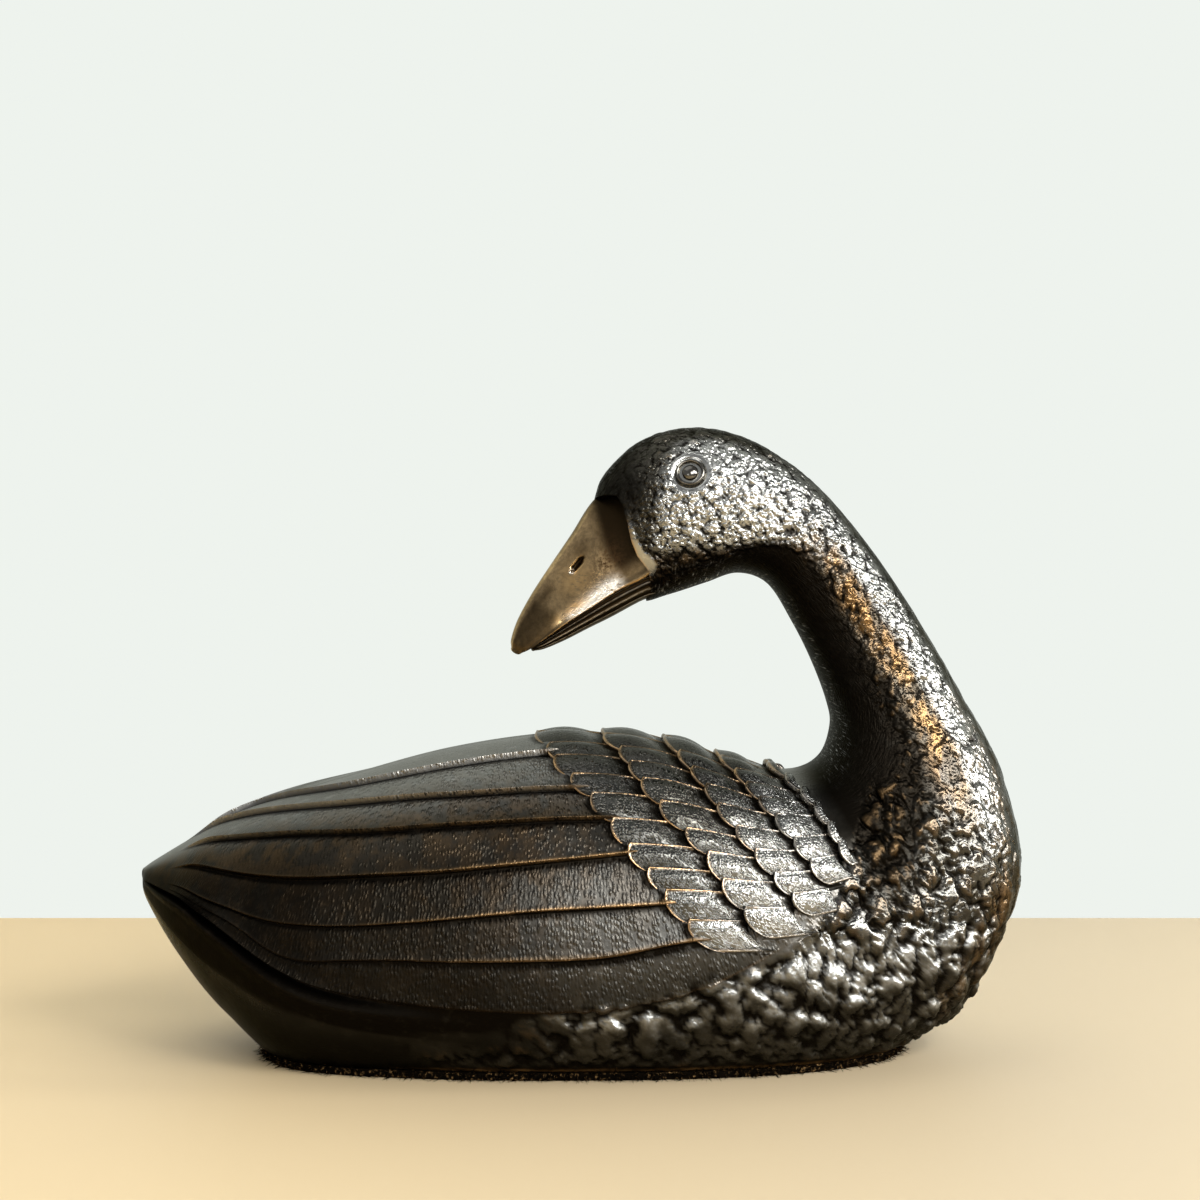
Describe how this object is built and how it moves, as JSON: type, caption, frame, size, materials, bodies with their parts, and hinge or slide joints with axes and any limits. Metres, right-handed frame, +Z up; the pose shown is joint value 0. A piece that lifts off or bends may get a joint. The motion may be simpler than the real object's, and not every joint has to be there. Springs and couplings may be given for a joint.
{
  "type": "metal duck decoy",
  "caption": "Cast metal duck at rest with its neck arched back over its body, a polished bill, feather relief and a felt-covered base that it stands on.",
  "frame": {"origin": "on the table, under the middle of the figure's box", "axes": "+X from the tail to the breast, +Y to the bird's left, +Z up; the figure is alike on both sides of XZ"},
  "size_m": [0.3199, 0.1496, 0.2259],
  "materials": {
    "patinated_bronze": "dark brown-black patina under wax, worn to bronze on raised edges",
    "polished_bronze": "polished golden brown with fine scratches",
    "eye_bronze": "dark and burnished",
    "plate_brass": "plain sheet brass, lightly tarnished",
    "screw_brass": "turned brass",
    "felt": "dense black wool felt"
  },
  "bodies": {
    "root": {"body_casting": "patinated_bronze", "neck_and_head_casting": "patinated_bronze", "upper_bill": "polished_bronze", "lower_bill": "polished_bronze", "eye_right": "eye_bronze", "eye_ring_right": "eye_bronze", "eye_left": "eye_bronze", "eye_ring_left": "eye_bronze", "neck_pin_back": "patinated_bronze", "neck_pin_right": "patinated_bronze", "neck_pin_breast": "patinated_bronze", "neck_pin_left": "patinated_bronze", "closing_plate": "plate_brass", "plate_screw_1": "screw_brass", "plate_screw_2": "screw_brass", "plate_screw_3": "screw_brass", "plate_screw_4": "screw_brass", "felt_pad": "felt"}
  },
  "joints": []
}
